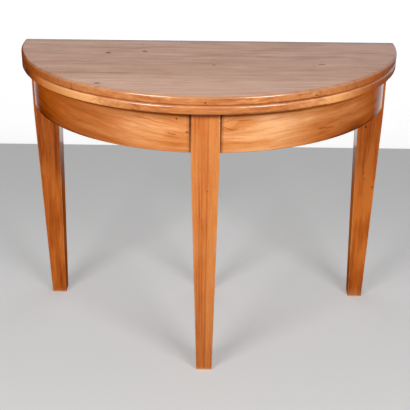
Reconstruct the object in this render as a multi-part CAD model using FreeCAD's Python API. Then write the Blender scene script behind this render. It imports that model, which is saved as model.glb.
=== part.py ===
import FreeCAD, Part
import math
import os

# Half-round fold-over table. The top is a pair of half-moon leaves hinged along the straight back edge.
# The lower leaf is fixed to a curved frame on three tapered legs. The upper leaf folds back to make a
# round table, and then rests on a fourth leg that pulls out from behind on two sliding bars.
# Millimetres, +Z up, the curved front faces -Y, the floor is Z = 0, and the origin lies on the floor
# under the middle of the closed table.

# Top
TABLE_HEIGHT = 750.0
TOP_RADIUS = 500.0
LEAF_THICKNESS = 21.4
LEAF_GAP = 0.4
LEAF_UPPER_ROUND = 7.0
LEAF_LOWER_ROUND = 4.0
FRONT_BOARD_WIDTH = 143.0
MIDDLE_BOARD_WIDTH = 162.0

# Curved apron, drawn from a centre that lies behind the back edge of the top
APRON_HEIGHT = 104.0
APRON_THICKNESS = 24.0
APRON_OVERHANG = 22.0
APRON_CENTRE_BACK = 15.0
APRON_EDGE_EASE = 1.5

# Three fixed legs, square, straight past the apron and then tapered on all four sides
LEG_TOP = 67.0
LEG_FOOT = 40.0
LEG_STRAIGHT_BELOW_APRON = 25.0
LEG_CORNER_ROUND = 2.0
FRONT_LEG_PROUD = 6.0
REAR_LEG_PROUD = 5.0

# Pull-out leg and its sliding frame
PULL_LEG_TOP = 52.0
PULL_LEG_FOOT = 34.0
PULL_LEG_BACK_INSET = 3.0
PULL_LEG_GAP = 2.0
PULL_RAIL_THICKNESS = 22.0
PULL_RAIL_END = 10.0
BAR_WIDTH = 24.0
BAR_HEIGHT = 40.0
BARS_APART = 156.0
BAR_FRONT_ROOM = 14.0
BAR_NOSE = 25.0
CROSS_BAR_THICKNESS = 22.0
CROSS_BAR_HEIGHT = 30.0
STOP_CLEARANCE = 2.0
SLIDE_CLEARANCE = 0.5

# Fixed rail, runners and guides
RAIL_THICKNESS = 22.0
RUNNER_THICKNESS = 14.0
GUIDE_WIDTH = 18.0
CURVE_CLEARANCE = 0.2

# Mortise and tenon joints
TENON_THICKNESS = 9.0
TENON_SHOULDER = 14.0
TENON_LENGTH = 22.0
TENON_ROOT = 12.0
TENON_CLEARANCE = 0.1
BAR_TENON_THICKNESS = 10.0
BAR_TENON_SHOULDER = 8.0
BAR_TENON_LENGTH = 13.0

# Glue blocks under the fixed leaf
BLOCK_SIZE = 22.0
BLOCK_LENGTH = 50.0
APRON_BLOCK_ANGLES = (24.0, 44.0, 64.0)
RAIL_BLOCK_LEG_INSET = 77.0
RAIL_BLOCK_GUIDE_INSET = 70.0
GLUE_FILM = 0.1

# Brass butt hinges on the back edge
HINGE_LENGTH = 60.0
HINGE_HEIGHT = 16.0
HINGE_PLATE = 2.0
HINGE_BARREL_RADIUS = 3.5
HINGE_PIN_RADIUS = 1.5
HINGE_PIN_CLEARANCE = 0.05
HINGE_PIN_HEAD_RADIUS = 2.6
HINGE_PIN_HEAD = 1.2
HINGE_AXIS_BACK = 0.5
HINGE_END_INSET = 160.0
KNUCKLES = 5
KNUCKLE_GAP = 0.15
BARREL_CLEARANCE = 0.4
PLATE_CLEARANCE = 0.1

# Screws
HINGE_SCREW_RADIUS = 1.6
HINGE_SCREW_LENGTH = 18.0
HINGE_SCREW_HEAD_RADIUS = 3.2
HINGE_SCREW_SPACING = 20.0
HINGE_SCREW_DROP = 10.0
FRAME_SCREW_RADIUS = 2.2
FRAME_SCREW_HEAD_RADIUS = 4.4
LEAF_SCREW_BITE = 12.0
RUNNER_SCREW_INSET = 30.0
LEG_SCREW_BITE = 20.0
LEG_SCREW_SPACING = 24.0
SCREW_CLEARANCE = 0.05
SLOT_WIDTH = 0.9
SLOT_DEPTH = 0.8

# Heights
INTERFACE_Z = TABLE_HEIGHT - LEAF_THICKNESS - LEAF_GAP / 2
FOLDING_LEAF_Z = INTERFACE_Z + LEAF_GAP / 2
FIXED_LEAF_TOP_Z = INTERFACE_Z - LEAF_GAP / 2
UNDERSIDE_Z = FIXED_LEAF_TOP_Z - LEAF_THICKNESS
APRON_BOTTOM_Z = UNDERSIDE_Z - APRON_HEIGHT
TAPER_Z = APRON_BOTTOM_Z - LEG_STRAIGHT_BELOW_APRON
BAR_TOP_Z = UNDERSIDE_Z - SLIDE_CLEARANCE
BAR_BOTTOM_Z = BAR_TOP_Z - BAR_HEIGHT
RUNNER_TOP_Z = BAR_BOTTOM_Z - SLIDE_CLEARANCE

# Places along Y: the straight back edge, then depths measured forward from it
HINGE_PROUD = HINGE_AXIS_BACK + HINGE_BARREL_RADIUS
BACK_Y = (TOP_RADIUS - HINGE_PROUD) / 2
APRON_RADIUS = TOP_RADIUS - APRON_OVERHANG
APRON_INNER_RADIUS = APRON_RADIUS - APRON_THICKNESS
APRON_CENTRE = FreeCAD.Vector(0, BACK_Y + APRON_CENTRE_BACK, 0)
FRONT_LEG_FACE = APRON_RADIUS - APRON_CENTRE_BACK + FRONT_LEG_PROUD
FRONT_LEG_BACK = FRONT_LEG_FACE - LEG_TOP
PULL_LEG_FRONT = PULL_LEG_BACK_INSET + PULL_LEG_TOP
RAIL_BACK = PULL_LEG_FRONT + PULL_LEG_GAP
RAIL_FRONT = RAIL_BACK + RAIL_THICKNESS
PULL_RAIL_BACK = PULL_LEG_FRONT - PULL_RAIL_THICKNESS
BAR_FRONT = FRONT_LEG_BACK - BAR_FRONT_ROOM
CROSS_BAR_FRONT = BAR_FRONT - BAR_NOSE
CROSS_BAR_BACK = CROSS_BAR_FRONT - CROSS_BAR_THICKNESS
SLIDE_TRAVEL = CROSS_BAR_BACK - RAIL_FRONT - STOP_CLEARANCE

# Places along X
REAR_LEG_OUTER = math.sqrt(APRON_RADIUS ** 2 - (RAIL_FRONT + APRON_CENTRE_BACK) ** 2) + REAR_LEG_PROUD
REAR_LEG_INNER = REAR_LEG_OUTER - LEG_TOP
BAR_INNER = BARS_APART / 2
BAR_X = BAR_INNER + BAR_WIDTH / 2
BAR_OUTER = BAR_INNER + BAR_WIDTH
GUIDE_INNER = BAR_OUTER + SLIDE_CLEARANCE
GUIDE_OUTER = GUIDE_INNER + GUIDE_WIDTH
FRAME_SCREW_X = (GUIDE_INNER + GUIDE_OUTER) / 2

FAR = 2 * (TOP_RADIUS + TABLE_HEIGHT)
UP = FreeCAD.Vector(0, 0, 1)


def at_depth(depth):
    """Y of a plane that lies this far in front of the straight back edge."""
    return BACK_Y - depth


def box(x, depth, z):
    """Box from ranges of X, of depth in front of the back edge, and of Z."""
    x0, x1 = min(x), max(x)
    y0, y1 = at_depth(max(depth)), at_depth(min(depth))
    z0, z1 = min(z), max(z)
    return Part.makeBox(x1 - x0, y1 - y0, z1 - z0, FreeCAD.Vector(x0, y0, z0))


def rod(radius, start, end):
    """Cylinder between two points."""
    line = end - start
    return Part.makeCylinder(radius, line.Length, start, line)


def fused(shapes):
    """One clean solid from several that touch or overlap."""
    return shapes[0].fuse(shapes[1:]).removeSplitter()


def mirrored(shape):
    """The same shape on the other side of the table."""
    return shape.mirror(FreeCAD.Vector(0, 0, 0), FreeCAD.Vector(1, 0, 0))


def polyline(points):
    """Closed wire through points, where a triple (start, middle, end) is an arc."""
    edges = []
    for item in points:
        if len(item) == 3:
            edges.append(Part.Arc(*item).toShape())
        else:
            edges.append(Part.LineSegment(*item).toShape())
    return Part.Wire(edges)


def corner(centre, radius, angle):
    """Point of a rounded corner at an angle in degrees, in the XZ plane."""
    turn = math.radians(angle)
    return centre + FreeCAD.Vector(radius * math.cos(turn), 0, radius * math.sin(turn))


# Top

def leaf(bottom_z):
    """Half-moon leaf with its curved edge rounded, more above than below."""
    top_z = bottom_z + LEAF_THICKNESS
    low = FreeCAD.Vector(TOP_RADIUS - LEAF_LOWER_ROUND, BACK_Y, bottom_z + LEAF_LOWER_ROUND)
    high = FreeCAD.Vector(TOP_RADIUS - LEAF_UPPER_ROUND, BACK_Y, top_z - LEAF_UPPER_ROUND)
    low_arc = [corner(low, LEAF_LOWER_ROUND, angle) for angle in (-90, -45, 0)]
    high_arc = [corner(high, LEAF_UPPER_ROUND, angle) for angle in (0, 45, 90)]
    axis_low = FreeCAD.Vector(0, BACK_Y, bottom_z)
    axis_high = FreeCAD.Vector(0, BACK_Y, top_z)
    outline = polyline([
        (axis_low, low_arc[0]),
        low_arc,
        (low_arc[2], high_arc[0]),
        high_arc,
        (high_arc[2], axis_high),
        (axis_high, axis_low),
    ])
    half_moon = Part.Face(outline).revolve(axis_low, -UP, 180)
    return half_moon.removeSplitter()


def leaf_boards(whole):
    """The three boards that a leaf is glued up from, back to front."""
    joint_2 = TOP_RADIUS - FRONT_BOARD_WIDTH
    joint_1 = joint_2 - MIDDLE_BOARD_WIDTH
    x = (-FAR, FAR)
    z = (0, FAR)
    ranges = ((-FAR, joint_1), (joint_1, joint_2), (joint_2, FAR))
    return [whole.common(box(x, depth, z)) for depth in ranges]


# Hinges and screws

def screw(head, direction, length, radius, head_radius):
    """Slotted countersunk screw, from the middle of its head's face along a direction."""
    cone_height = head_radius - radius
    cone = Part.makeCone(head_radius, radius, cone_height, head, direction)
    shank = rod(radius, head, head + direction * length)
    slot = Part.makeBox(SLOT_WIDTH, 2 * head_radius, SLOT_DEPTH)
    slot.translate(FreeCAD.Vector(-SLOT_WIDTH / 2, -head_radius, 0))
    slot.Placement = FreeCAD.Placement(head, FreeCAD.Rotation(UP, direction)).multiply(slot.Placement)
    return fused([cone, shank]).cut(slot)


def screw_hole(head, direction, length, radius, head_radius):
    """The countersunk hole that a screw sits in."""
    wide = head_radius + SCREW_CLEARANCE
    narrow = radius + SCREW_CLEARANCE
    cone = Part.makeCone(wide, narrow, wide - narrow, head, direction)
    shank = rod(narrow, head, head + direction * (length + SCREW_CLEARANCE))
    return fused([cone, shank])


def hinge_screw_places(hinge_x, side):
    """Head points of one hinge plate's screws; side is -1 on the fixed leaf and 1 on the folding leaf."""
    z = INTERFACE_Z + side * HINGE_SCREW_DROP
    return [
        FreeCAD.Vector(hinge_x + step * HINGE_SCREW_SPACING, BACK_Y, z)
        for step in (-1, 0, 1)
    ]


def hinge_screw_sizes():
    """Direction and sizes that a hinge screw and its hole share."""
    return FreeCAD.Vector(0, -1, 0), HINGE_SCREW_LENGTH, HINGE_SCREW_RADIUS, HINGE_SCREW_HEAD_RADIUS


def barrel(hinge_x, first, last, radius):
    """Cylinder on the hinge axis between two distances along the hinge."""
    start = hinge_x - HINGE_LENGTH / 2
    y = BACK_Y + HINGE_AXIS_BACK
    return rod(
        radius,
        FreeCAD.Vector(start + first, y, INTERFACE_Z),
        FreeCAD.Vector(start + last, y, INTERFACE_Z),
    )


def hinge_plate_box(hinge_x, side, grow):
    """Space of a hinge plate let into the back edge, longer by grow at both ends."""
    half = HINGE_LENGTH / 2 + grow
    z = (INTERFACE_Z + side * LEAF_GAP / 2, INTERFACE_Z + side * (HINGE_HEIGHT + grow))
    return box((hinge_x - half, hinge_x + half), (0, HINGE_PLATE), z)


def hinge_plate(hinge_x, side):
    """Hinge plate with its knuckles; the fixed plate has the outer ones."""
    pitch = HINGE_LENGTH / KNUCKLES
    own = range(0, KNUCKLES, 2) if side < 0 else range(1, KNUCKLES, 2)
    other = range(1, KNUCKLES, 2) if side < 0 else range(0, KNUCKLES, 2)
    plate = hinge_plate_box(hinge_x, side, 0)
    clear = HINGE_BARREL_RADIUS + BARREL_CLEARANCE
    for place in other:
        plate = plate.cut(barrel(
            hinge_x, place * pitch - KNUCKLE_GAP, (place + 1) * pitch + KNUCKLE_GAP, clear))
    knuckles = []
    for place in own:
        first = place * pitch + (KNUCKLE_GAP if place > 0 else 0)
        last = (place + 1) * pitch - (KNUCKLE_GAP if place < KNUCKLES - 1 else 0)
        knuckles.append(barrel(hinge_x, first, last, HINGE_BARREL_RADIUS))
    shape = fused([plate] + knuckles)
    bore = HINGE_PIN_RADIUS + HINGE_PIN_CLEARANCE
    shape = shape.cut(barrel(hinge_x, -HINGE_PIN_HEAD, HINGE_LENGTH + HINGE_PIN_HEAD, bore))
    for place in hinge_screw_places(hinge_x, side):
        shape = shape.cut(screw_hole(place, *hinge_screw_sizes()))
    return shape


def hinge_pin(hinge_x):
    """Hinge pin with a flat head at each end of the barrel."""
    shank = barrel(hinge_x, 0, HINGE_LENGTH, HINGE_PIN_RADIUS)
    heads = [
        barrel(hinge_x, -HINGE_PIN_HEAD, 0, HINGE_PIN_HEAD_RADIUS),
        barrel(hinge_x, HINGE_LENGTH, HINGE_LENGTH + HINGE_PIN_HEAD, HINGE_PIN_HEAD_RADIUS),
    ]
    return fused([shank] + heads)


def hinge_recess(hinge_x, side):
    """What is cut from a leaf's back edge for one hinge: plate, barrel and screw holes."""
    ends = HINGE_PIN_HEAD + BARREL_CLEARANCE
    tools = [
        hinge_plate_box(hinge_x, side, PLATE_CLEARANCE),
        barrel(hinge_x, -ends, HINGE_LENGTH + ends, HINGE_BARREL_RADIUS + BARREL_CLEARANCE),
    ]
    for place in hinge_screw_places(hinge_x, side):
        tools.append(screw_hole(place, *hinge_screw_sizes()))
    return tools


# Legs

def square(centre_depth, centre_x, size, z):
    """Square outline with rounded corners, lying at a height."""
    half = size / 2
    inner = half - LEG_CORNER_ROUND
    middle = FreeCAD.Vector(centre_x, at_depth(centre_depth), z)
    items = []
    for quarter in range(4):
        turn = math.radians(90 * quarter)
        along = FreeCAD.Vector(math.cos(turn), math.sin(turn), 0)
        across = FreeCAD.Vector(-math.sin(turn), math.cos(turn), 0)
        start = middle + along * half - across * inner
        end = middle + along * half + across * inner
        pivot = middle + along * inner + across * inner
        bulge = pivot + (along + across) * (LEG_CORNER_ROUND / math.sqrt(2))
        next_start = middle + across * half + along * inner
        items.append((start, end))
        items.append((end, bulge, next_start))
    return polyline(items)


def leg(centre_depth, centre_x, top, foot, top_z):
    """Square leg, straight down to the taper's start and then tapered on all four sides to the floor."""
    shoulder = square(centre_depth, centre_x, top, TAPER_Z)
    straight = Part.Face(shoulder).extrude(UP * (top_z - TAPER_Z))
    taper = Part.makeLoft([square(centre_depth, centre_x, foot, 0), shoulder], True, True)
    return fused([straight, taper])


# Frame

def apron_tenons():
    """Tenons of the right-hand apron: one into the front leg along X, one into the rear leg along Y."""
    z = (APRON_BOTTOM_Z + TENON_SHOULDER, UNDERSIDE_Z - TENON_SHOULDER)
    half = TENON_THICKNESS / 2
    middle_radius = APRON_RADIUS - APRON_THICKNESS / 2
    face_x = LEG_TOP / 2
    front_depth = math.sqrt(middle_radius ** 2 - face_x ** 2) - APRON_CENTRE_BACK
    front = box((face_x - TENON_LENGTH, face_x + TENON_ROOT), (front_depth - half, front_depth + half), z)
    rear_x = math.sqrt(middle_radius ** 2 - (RAIL_FRONT + APRON_CENTRE_BACK) ** 2)
    rear = box((rear_x - half, rear_x + half), (RAIL_FRONT - TENON_LENGTH, RAIL_FRONT + TENON_ROOT), z)
    return front, rear


def apron_ring():
    """Half ring of the apron's section, with its lower corners eased, before the legs divide it."""
    ease = APRON_EDGE_EASE
    section = (
        (APRON_INNER_RADIUS, UNDERSIDE_Z),
        (APRON_INNER_RADIUS, APRON_BOTTOM_Z + ease),
        (APRON_INNER_RADIUS + ease, APRON_BOTTOM_Z),
        (APRON_RADIUS - ease, APRON_BOTTOM_Z),
        (APRON_RADIUS, APRON_BOTTOM_Z + ease),
        (APRON_RADIUS, UNDERSIDE_Z),
    )
    points = [APRON_CENTRE + FreeCAD.Vector(radius, 0, z) for radius, z in section]
    outline = Part.makePolygon(points + points[:1])
    return Part.Face(outline).revolve(APRON_CENTRE, -UP, 180)


def apron(side):
    """Curved apron between the front leg and a rear leg, with its two tenons; side is 1 or -1."""
    arc = apron_ring().common(box((side * LEG_TOP / 2, side * FAR), (RAIL_FRONT, FAR), (0, FAR)))
    tenons = apron_tenons()
    if side < 0:
        tenons = [mirrored(tenon) for tenon in tenons]
    return fused([arc] + list(tenons))


def rail_tenon():
    """Tenon of the back rail into the right rear leg."""
    z = (APRON_BOTTOM_Z + TENON_SHOULDER, UNDERSIDE_Z - TENON_SHOULDER)
    middle = (RAIL_BACK + RAIL_FRONT) / 2
    depth = (middle - TENON_THICKNESS / 2, middle + TENON_THICKNESS / 2)
    return box((REAR_LEG_INNER - TENON_ROOT, REAR_LEG_INNER + TENON_LENGTH), depth, z)


def back_rail():
    """Rail between the rear legs, notched from above where the sliding bars pass."""
    x = (-REAR_LEG_INNER, REAR_LEG_INNER)
    rail = box(x, (RAIL_BACK, RAIL_FRONT), (APRON_BOTTOM_Z, UNDERSIDE_Z))
    rail = fused([rail, rail_tenon(), mirrored(rail_tenon())])
    notch_x = (BAR_INNER - SLIDE_CLEARANCE, BAR_OUTER + SLIDE_CLEARANCE)
    notch = box(notch_x, (0, FAR), (RUNNER_TOP_Z, FAR))
    return rail.cut([notch, mirrored(notch)])


def inner_space():
    """Everything inside the curved apron, a hair short of its inner face."""
    radius = APRON_INNER_RADIUS - CURVE_CLEARANCE
    return Part.makeCylinder(radius, FAR, APRON_CENTRE)


def frame_screw_places():
    """Head points of the screws that hold the right runner and guide up to the fixed leaf."""
    z = RUNNER_TOP_Z - RUNNER_THICKNESS
    front = math.sqrt(APRON_INNER_RADIUS ** 2 - GUIDE_OUTER ** 2) - APRON_CENTRE_BACK
    first = RAIL_FRONT + RUNNER_SCREW_INSET
    last = front - RUNNER_SCREW_INSET
    depths = (first, (first + last) / 2, last)
    return [FreeCAD.Vector(FRAME_SCREW_X, at_depth(depth), z) for depth in depths]


def frame_screw_sizes():
    """Direction and sizes that a runner screw and its hole share."""
    length = UNDERSIDE_Z - RUNNER_TOP_Z + RUNNER_THICKNESS + LEAF_SCREW_BITE
    return UP, length, FRAME_SCREW_RADIUS, FRAME_SCREW_HEAD_RADIUS


def leg_screw_places():
    """Head points of the screws that hold the pull-out rail to its leg."""
    z = (BAR_TOP_Z + BAR_BOTTOM_Z) / 2
    half = LEG_SCREW_SPACING / 2
    return [FreeCAD.Vector(x, at_depth(PULL_LEG_FRONT), z) for x in (-half, half)]


def leg_screw_sizes():
    """Direction and sizes that a leg screw and its hole share."""
    length = PULL_RAIL_THICKNESS + LEG_SCREW_BITE
    return FreeCAD.Vector(0, 1, 0), length, FRAME_SCREW_RADIUS, FRAME_SCREW_HEAD_RADIUS


def bar_tenon():
    """Tenon of the right sliding bar into the pull-out rail."""
    x = (BAR_X - BAR_TENON_THICKNESS / 2, BAR_X + BAR_TENON_THICKNESS / 2)
    depth = (PULL_LEG_FRONT - BAR_TENON_LENGTH, PULL_LEG_FRONT + BAR_TENON_LENGTH)
    return box(x, depth, (BAR_BOTTOM_Z + BAR_TENON_SHOULDER, BAR_TOP_Z - BAR_TENON_SHOULDER))


def cross_bar_heights():
    """Lowest and highest Z of the cross bar, at the middle of the sliding bars."""
    middle = (BAR_TOP_Z + BAR_BOTTOM_Z) / 2
    return middle - CROSS_BAR_HEIGHT / 2, middle + CROSS_BAR_HEIGHT / 2


def cross_bar_tenon():
    """Tenon of the cross bar into the right sliding bar."""
    low, high = cross_bar_heights()
    middle = (CROSS_BAR_BACK + CROSS_BAR_FRONT) / 2
    depth = (middle - BAR_TENON_THICKNESS / 2, middle + BAR_TENON_THICKNESS / 2)
    x = (BAR_INNER - BAR_TENON_LENGTH, BAR_INNER + BAR_TENON_LENGTH)
    return box(x, depth, (low + BAR_TENON_SHOULDER, high - BAR_TENON_SHOULDER))


def grown(shape_box):
    """The mortise for a tenon: its box, larger all round by the tenon clearance."""
    limits = shape_box.BoundBox
    size = 2 * TENON_CLEARANCE
    start = FreeCAD.Vector(limits.XMin, limits.YMin, limits.ZMin)
    start = start - FreeCAD.Vector(TENON_CLEARANCE, TENON_CLEARANCE, TENON_CLEARANCE)
    return Part.makeBox(limits.XLength + size, limits.YLength + size, limits.ZLength + size, start)


def apron_block(angle):
    """Glue block in the corner between the apron and the fixed leaf, at an angle from the front."""
    outer = APRON_INNER_RADIUS - GLUE_FILM
    span = math.degrees(BLOCK_LENGTH / outer)
    height = FreeCAD.Vector(0, 0, UNDERSIDE_Z - BLOCK_SIZE)
    ring = Part.makeCylinder(outer, BLOCK_SIZE, APRON_CENTRE + height, UP, span)
    core = Part.makeCylinder(outer - BLOCK_SIZE, BLOCK_SIZE, APRON_CENTRE + height, UP, span)
    block = ring.cut(core)
    block.rotate(APRON_CENTRE, UP, angle - 90 - span / 2)
    return block


def rail_block(x):
    """Glue block in the corner between the back rail and the fixed leaf."""
    return box((x - BLOCK_LENGTH / 2, x + BLOCK_LENGTH / 2), (RAIL_FRONT, RAIL_FRONT + BLOCK_SIZE),
               (UNDERSIDE_Z - BLOCK_SIZE, UNDERSIDE_Z))


# Assembly

def top_parts():
    """Boards of both leaves, the hinges and their screws."""
    parts = {}
    outer_hinge_x = TOP_RADIUS - HINGE_END_INSET
    hinges = {"left": -outer_hinge_x, "centre": 0.0, "right": outer_hinge_x}
    screw_holes = []
    for place in frame_screw_places():
        hole = screw_hole(place, *frame_screw_sizes())
        screw_holes += [hole, mirrored(hole)]
    leaves = {"fixed_leaf": (FIXED_LEAF_TOP_Z - LEAF_THICKNESS, -1), "folding_leaf": (FOLDING_LEAF_Z, 1)}
    for name, (bottom_z, side) in leaves.items():
        recesses = [tool for x in hinges.values() for tool in hinge_recess(x, side)]
        tools = recesses + (screw_holes if side < 0 else [])
        boards = leaf_boards(leaf(bottom_z).cut(tools))
        for place, board in zip(("back", "middle", "front"), boards):
            parts[f"{name}_{place}_board"] = board
    for name, x in hinges.items():
        parts[f"{name}_hinge_fixed_plate"] = hinge_plate(x, -1)
        parts[f"{name}_hinge_moving_plate"] = hinge_plate(x, 1)
        parts[f"{name}_hinge_pin"] = hinge_pin(x)
    for name, side in (("fixed", -1), ("moving", 1)):
        places = [place for x in hinges.values() for place in hinge_screw_places(x, side)]
        parts[f"hinge_{name}_screws"] = Part.Compound([screw(p, *hinge_screw_sizes()) for p in places])
    return parts


def frame_parts():
    """Fixed legs, aprons, back rail, runners, guides and glue blocks."""
    parts = {}
    front_tenon, rear_tenon = apron_tenons()
    front_mortise = grown(front_tenon)
    front = leg(FRONT_LEG_FACE - LEG_TOP / 2, 0, LEG_TOP, LEG_FOOT, UNDERSIDE_Z)
    parts["front_leg"] = front.cut([front_mortise, mirrored(front_mortise)])
    rear_x = REAR_LEG_OUTER - LEG_TOP / 2
    rear = leg(RAIL_FRONT - LEG_TOP / 2, rear_x, LEG_TOP, LEG_FOOT, UNDERSIDE_Z)
    rear = rear.cut([grown(rear_tenon), grown(rail_tenon())])
    parts["right_rear_leg"] = rear
    parts["left_rear_leg"] = mirrored(rear)
    parts["right_apron"] = apron(1)
    parts["left_apron"] = apron(-1)
    parts["back_rail"] = back_rail()

    holes = [screw_hole(place, *frame_screw_sizes()) for place in frame_screw_places()]
    runner_z = (RUNNER_TOP_Z - RUNNER_THICKNESS, RUNNER_TOP_Z)
    runner = box((BAR_INNER, GUIDE_OUTER), (RAIL_FRONT, FAR), runner_z).common(inner_space()).cut(holes)
    guide_z = (RUNNER_TOP_Z, UNDERSIDE_Z)
    guide = box((GUIDE_INNER, GUIDE_OUTER), (RAIL_FRONT, FAR), guide_z).common(inner_space()).cut(holes)
    parts["right_runner"] = runner
    parts["left_runner"] = mirrored(runner)
    parts["right_guide"] = guide
    parts["left_guide"] = mirrored(guide)
    screws = [screw(place, *frame_screw_sizes()) for place in frame_screw_places()]
    parts["runner_screws"] = Part.Compound(screws + [mirrored(item) for item in screws])

    blocks = [apron_block(angle) for angle in APRON_BLOCK_ANGLES]
    parts["apron_glue_blocks"] = Part.Compound(blocks + [mirrored(item) for item in blocks])
    places = (GUIDE_OUTER + RAIL_BLOCK_GUIDE_INSET, REAR_LEG_INNER - RAIL_BLOCK_LEG_INSET)
    blocks = [rail_block(x) for x in places]
    parts["rail_glue_blocks"] = Part.Compound(blocks + [mirrored(item) for item in blocks])
    return parts


def slide_parts():
    """Pull-out leg with its rail, the two sliding bars, their cross bar and the leg's screws."""
    parts = {}
    holes = [screw_hole(place, *leg_screw_sizes()) for place in leg_screw_places()]
    bar_z = (BAR_BOTTOM_Z, BAR_TOP_Z)
    lap = (PULL_RAIL_BACK, PULL_LEG_FRONT)
    pull_leg = leg(PULL_LEG_FRONT - PULL_LEG_TOP / 2, 0, PULL_LEG_TOP, PULL_LEG_FOOT, BAR_TOP_Z)
    parts["pull_out_leg"] = pull_leg.cut([box((-FAR, FAR), lap, (BAR_BOTTOM_Z, FAR))] + holes)
    rail_x = BAR_OUTER + PULL_RAIL_END
    bar_mortise = grown(bar_tenon())
    rail = box((-rail_x, rail_x), lap, bar_z)
    parts["pull_out_rail"] = rail.cut([bar_mortise, mirrored(bar_mortise)] + holes)
    bar = box((BAR_INNER, BAR_OUTER), (PULL_LEG_FRONT, BAR_FRONT), bar_z)
    bar = fused([bar, bar_tenon()]).cut(grown(cross_bar_tenon()))
    parts["right_slide_bar"] = bar
    parts["left_slide_bar"] = mirrored(bar)
    cross = box((-BAR_INNER, BAR_INNER), (CROSS_BAR_BACK, CROSS_BAR_FRONT), cross_bar_heights())
    parts["slide_cross_bar"] = fused([cross, cross_bar_tenon(), mirrored(cross_bar_tenon())])
    screws = [screw(place, *leg_screw_sizes()) for place in leg_screw_places()]
    parts["pull_out_leg_screws"] = Part.Compound(screws)
    return parts


def main():
    os.makedirs("parts", exist_ok=True)
    parts = {**top_parts(), **frame_parts(), **slide_parts()}
    for name, shape in parts.items():
        shape.exportStep(f"parts/{name}.step")
    print(len(parts), "parts, slide travel", round(SLIDE_TRAVEL, 3), "mm")


main()
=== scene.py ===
import math
from dataclasses import dataclass

import bpy
from mathutils import Matrix, Vector


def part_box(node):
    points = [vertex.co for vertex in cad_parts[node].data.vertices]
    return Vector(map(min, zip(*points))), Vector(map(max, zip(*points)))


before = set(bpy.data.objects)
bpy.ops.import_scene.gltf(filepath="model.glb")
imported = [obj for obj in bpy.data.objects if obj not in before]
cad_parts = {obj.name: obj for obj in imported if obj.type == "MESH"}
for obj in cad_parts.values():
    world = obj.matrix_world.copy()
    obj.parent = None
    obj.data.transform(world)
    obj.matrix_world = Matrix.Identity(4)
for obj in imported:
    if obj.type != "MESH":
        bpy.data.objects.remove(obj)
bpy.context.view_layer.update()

# Places and sizes of the model, in metres
LEAF_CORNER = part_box("folding_leaf_back_board")[1]
BACK_EDGE = LEAF_CORNER.y
TABLE_TOP = LEAF_CORNER.z
LEAF_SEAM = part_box("folding_leaf_back_board")[0].z
APRON_SHIFT = 0.015
APRON_CENTRE = BACK_EDGE + APRON_SHIFT
APRON_RADIUS = 0.478
APRON_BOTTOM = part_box("right_apron")[0].z
APRON_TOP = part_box("right_apron")[1].z
LEG_TAPER_TOP = 0.5778
LEG_HALF_TOP = 0.0335
LEG_HALF_FOOT = 0.020
PULL_LEG_HALF_TOP = 0.026
PULL_LEG_HALF_FOOT = 0.017

# Camera, in metres and radians
CAMERA_PLACE = Vector((0.0333, -2.1369, 1.3437))
CAMERA_YAW = -0.0172
CAMERA_PITCH = 0.4259
CAMERA_ROLL = 0.0070
CAMERA_LENS = 78.37
CAMERA_SENSOR = 36.0

# Light: two soft boxes in front of the table, a weak lamp above its back, and even light from all round
BOX_AZIMUTH = math.radians(35)
BOX_ELEVATION = math.radians(27)
BOX_DISTANCE = 2.7
BOX_WIDTH = 1.10
BOX_HEIGHT = 0.55
BOX_LEVEL = 0.56
LAMP_ELEVATION = math.radians(60)
LAMP_DISTANCE = 1.6
LAMP_SIZE = 0.8
LAMP_LEVEL = 0.12
LIGHT_TARGET = Vector((0.0, -0.05, 0.60))
AMBIENT_LEVEL = 0.14
BACKGROUND_LEVEL = 1.0
FLOOR_FRONT = -9.0
FLOOR_HALF_WIDTH = 9.0
FLOOR_ALBEDO = 0.52
FLOOR_GLOW = 0.22
WALL_PLACE = 1.55
WALL_HEIGHT = 3.2
WALL_GLOW = 0.74
COVE_RADIUS = 0.12
COVE_STEPS = 12
COVE_LIFT = 0.001
STAGE_ROUGHNESS = 0.9
STAGE_SPECULAR = 0.1

# The curve of display colours
SRGB_TOE = 0.04045
SRGB_SLOPE = 12.92
SRGB_OFFSET = 0.055
SRGB_POWER = 2.4
FULL_LEVEL = 255

# Sockets of the mix node: the share, the two colours and the result
MIX_SHARE = 0
MIX_FIRST = 6
MIX_SECOND = 7
MIX_RESULT = 2


def paint(red, green, blue):
    """A display colour, 0 to 255, as the linear colour that a shader takes."""

    def linear(level):
        share = level / FULL_LEVEL
        if share <= SRGB_TOE:
            return share / SRGB_SLOPE
        return ((share + SRGB_OFFSET) / (1 + SRGB_OFFSET)) ** SRGB_POWER

    return (linear(red), linear(green), linear(blue), 1.0)


class Wire:
    """The output of a shader node, so that a formula on it reads as arithmetic."""

    def __init__(self, graph, socket):
        self.graph = graph
        self.socket = socket

    def __add__(self, other):
        return self.graph.maths("ADD", self, other)

    def __radd__(self, other):
        return self.graph.maths("ADD", other, self)

    def __sub__(self, other):
        return self.graph.maths("SUBTRACT", self, other)

    def __rsub__(self, other):
        return self.graph.maths("SUBTRACT", other, self)

    def __mul__(self, other):
        return self.graph.maths("MULTIPLY", self, other)

    def __truediv__(self, other):
        return self.graph.maths("DIVIDE", self, other)

    def __abs__(self):
        return self.graph.maths("ABSOLUTE", self)


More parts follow.
